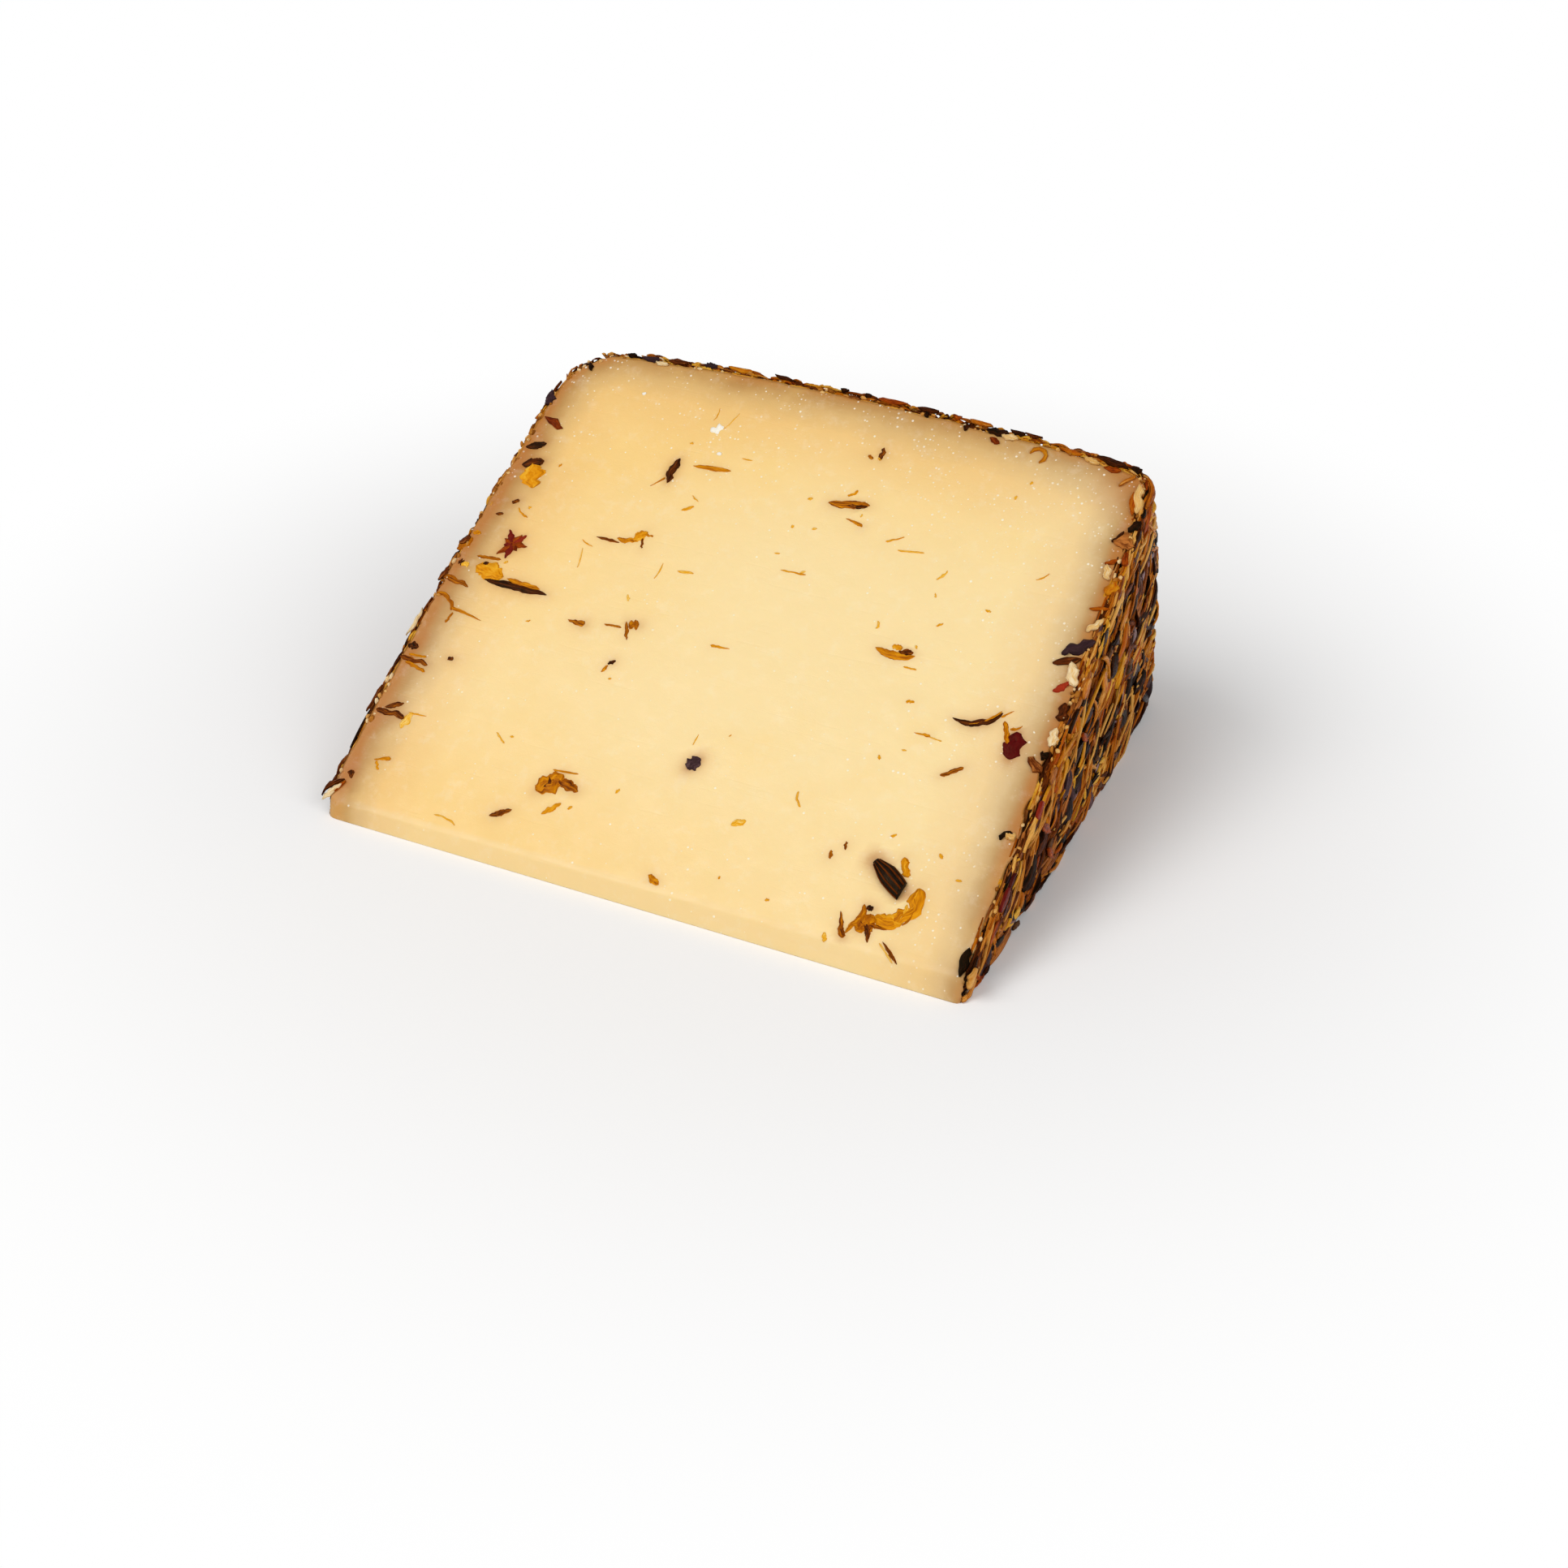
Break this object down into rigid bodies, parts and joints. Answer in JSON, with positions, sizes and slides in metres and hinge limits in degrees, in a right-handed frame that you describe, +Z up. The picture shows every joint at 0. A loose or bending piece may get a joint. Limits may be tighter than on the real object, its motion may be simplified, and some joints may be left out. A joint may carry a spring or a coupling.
{
  "type": "sheep cheese wedge",
  "caption": "Wedge of pale sheep cheese lying on a cut face, its rind coated with dried herbs and petals and its paste flecked with them.",
  "frame": {"origin": "middle of the box's bottom, on the lower cut face that the wedge lies on", "axes": "+X along the wheel's axis, from the face with the wide shoulder to the face with the tight shoulder; +Y from the tip to the rim; +Z up"},
  "size_m": [0.1016, 0.0888, 0.0461],
  "materials": {
    "paste": "pale cream-yellow paste, waxy and slightly translucent, greyer and browner towards the rind, with faint knife marks",
    "rind": "thin amber-brown rind, waxy under the herbs",
    "herbs": "dried herb stems, leaves and flower petals, brown-black, purple-grey, straw, golden and orange, lightly oiled"
  },
  "bodies": {
    "root": {"cheese_wedge": "paste"}
  },
  "joints": []
}
